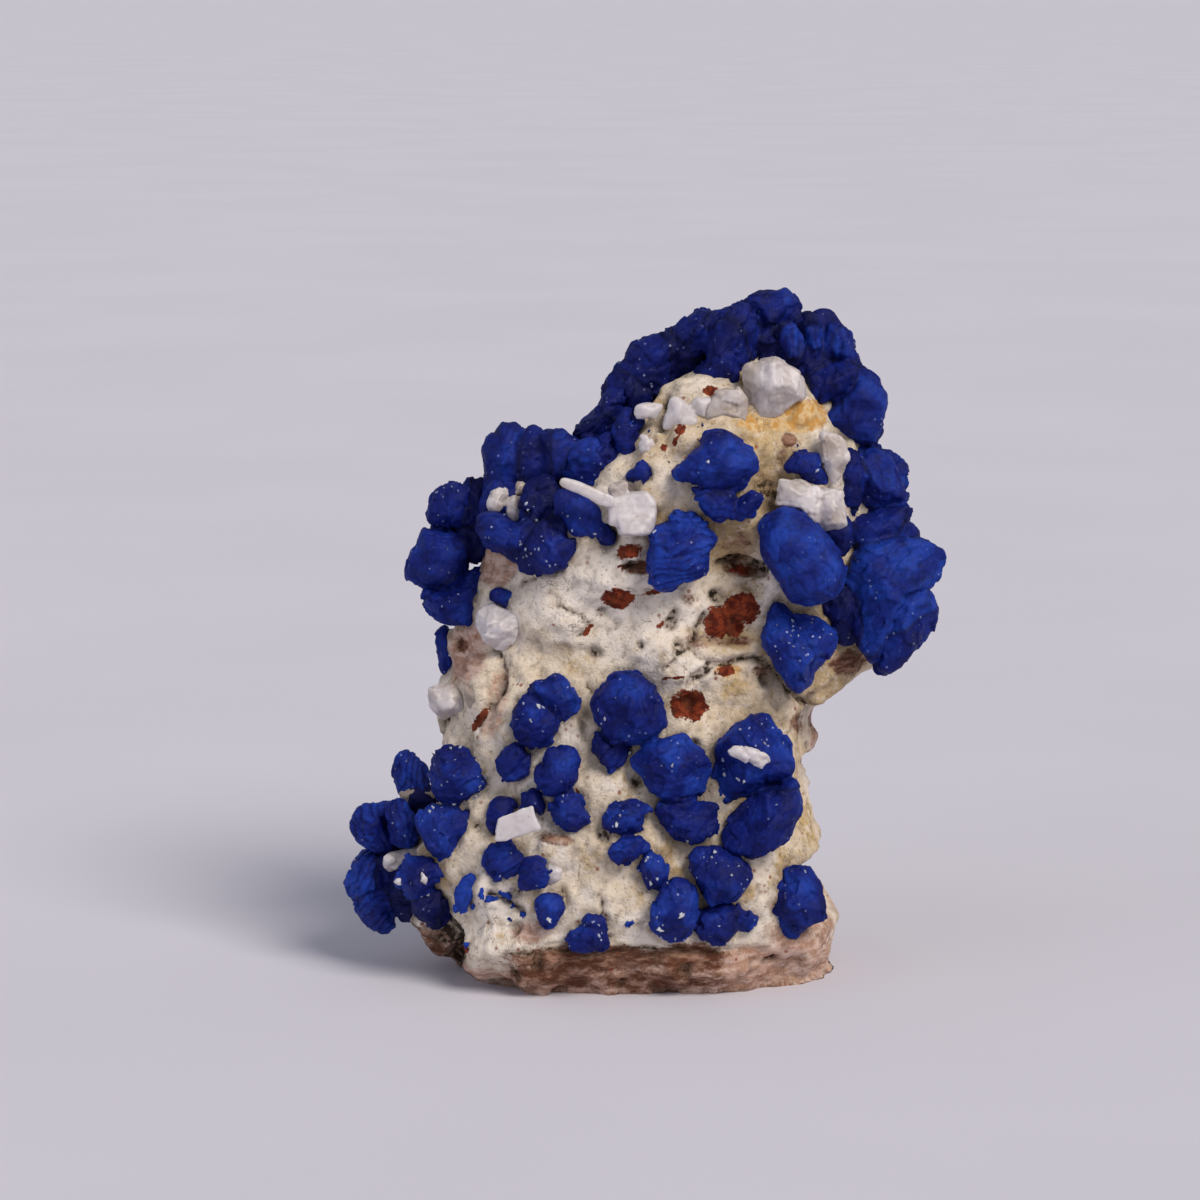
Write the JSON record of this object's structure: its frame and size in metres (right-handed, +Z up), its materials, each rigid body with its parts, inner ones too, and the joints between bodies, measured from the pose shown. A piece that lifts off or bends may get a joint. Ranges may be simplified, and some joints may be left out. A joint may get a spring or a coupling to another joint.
{
  "type": "azurite mineral specimen",
  "caption": "Upright piece of pale host rock studded with deep blue azurite rosettes and small white calcite crystals, standing on its flat foot.",
  "frame": {"origin": "centre of the flat foot, in the plane the specimen stands on", "axes": "+Z up through the standing specimen, -Y towards the viewer out of the crystal-bearing front, +X to the viewer's right"},
  "size_m": [0.0408, 0.023, 0.0464],
  "materials": {
    "host_rock": "rough, crumbly, cream to tan carbonate rock with rust-red and brown stains",
    "azurite": "deep ultramarine blue, glassy crystal edges, satin overall",
    "calcite": "milky white, slightly translucent, pearly cleavage faces"
  },
  "bodies": {
    "root": {"azurite_arch": "azurite", "azurite_book": "azurite", "azurite_capped": "azurite", "azurite_chip": "azurite", "azurite_corner": "azurite", "azurite_crown_left": "azurite", "azurite_foot_twin": "azurite", "azurite_glinting": "azurite", "azurite_ledge_fan": "azurite", "azurite_ledge_folds": "azurite", "azurite_ledge_front": "azurite", "azurite_ledge_pair": "azurite", "azurite_left_bead": "azurite", "azurite_left_edge": "azurite", "azurite_left_lobes": "azurite", "azurite_left_sliver": "azurite", "azurite_left_trio": "azurite", "azurite_lower_bead": "azurite", "azurite_lower_chain": "azurite", "azurite_lower_pair": "azurite", "azurite_lower_round": "azurite", "azurite_middle_chain": "azurite", "azurite_oval": "azurite", "azurite_plate_bead": "azurite", "azurite_shoulder": "azurite", "azurite_shoulder_top": "azurite", "azurite_small_bead": "azurite", "azurite_small_fan": "azurite", "azurite_tilted_lens": "azurite", "azurite_twin": "azurite", "azurite_upper_bead": "azurite", "azurite_upper_lens": "azurite", "azurite_upper_right_bead": "azurite", "calcite_crown_flake": "calcite", "calcite_crown_lump": "calcite", "calcite_edge_lump": "calcite", "calcite_knobs": "calcite", "calcite_left_lump": "calcite", "calcite_low_chip": "calcite", "calcite_pink_block": "calcite", "calcite_plate": "calcite", "calcite_rhomb": "calcite", "calcite_right_leaf": "calcite", "calcite_right_lump": "calcite", "calcite_rod_block": "calcite", "host_rock": "host_rock"}
  },
  "joints": []
}
